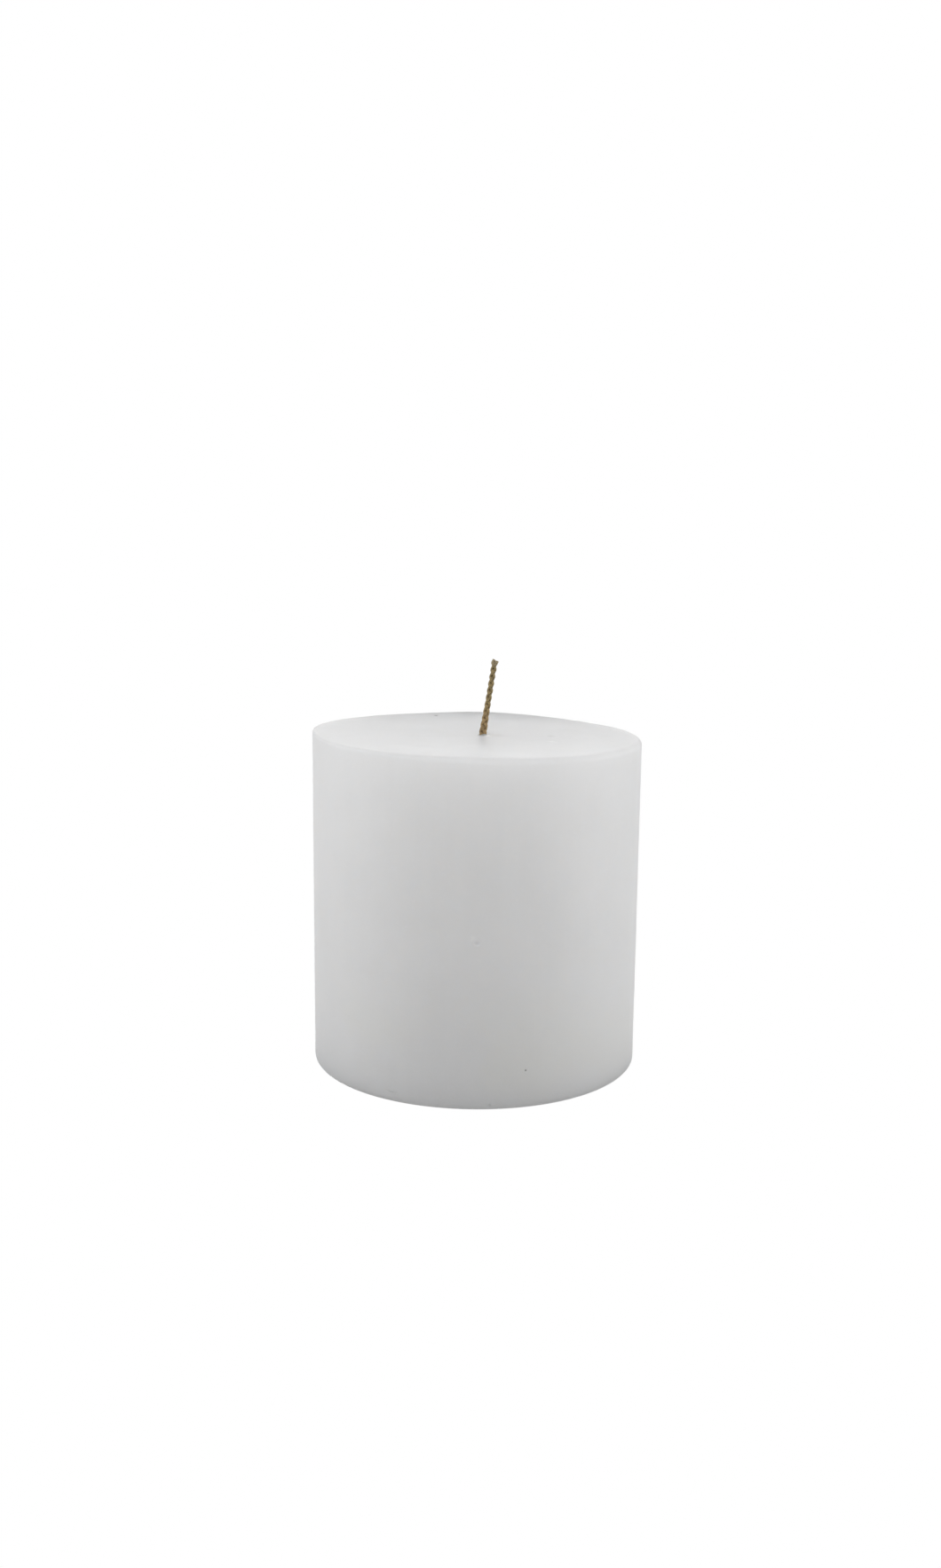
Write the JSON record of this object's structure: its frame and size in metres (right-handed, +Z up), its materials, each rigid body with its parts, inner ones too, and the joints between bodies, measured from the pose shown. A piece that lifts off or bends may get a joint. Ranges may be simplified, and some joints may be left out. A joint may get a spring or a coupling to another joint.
{
  "type": "pillar candle",
  "caption": "Short round pillar candle: cast white wax body with a plaited cotton wick held in a steel tab at the base.",
  "frame": {"origin": "centre of the round base, on the surface that the candle stands on", "axes": "+Z up along the candle's axis; -Y is the side that the wick drifts towards on its way up, and +X the side that its free end leans to"},
  "size_m": [0.075, 0.075, 0.0936],
  "materials": {
    "wax": "cast white wax, satin, slightly translucent",
    "wick_cotton": "plaited unbleached cotton, primed with wax",
    "tab_steel": "tinned sheet steel"
  },
  "bodies": {
    "root": {"wax_pillar": "wax", "wick_tab": "tab_steel", "wick_strand_1": "wick_cotton", "wick_strand_2": "wick_cotton", "wick_strand_3": "wick_cotton"}
  },
  "joints": []
}
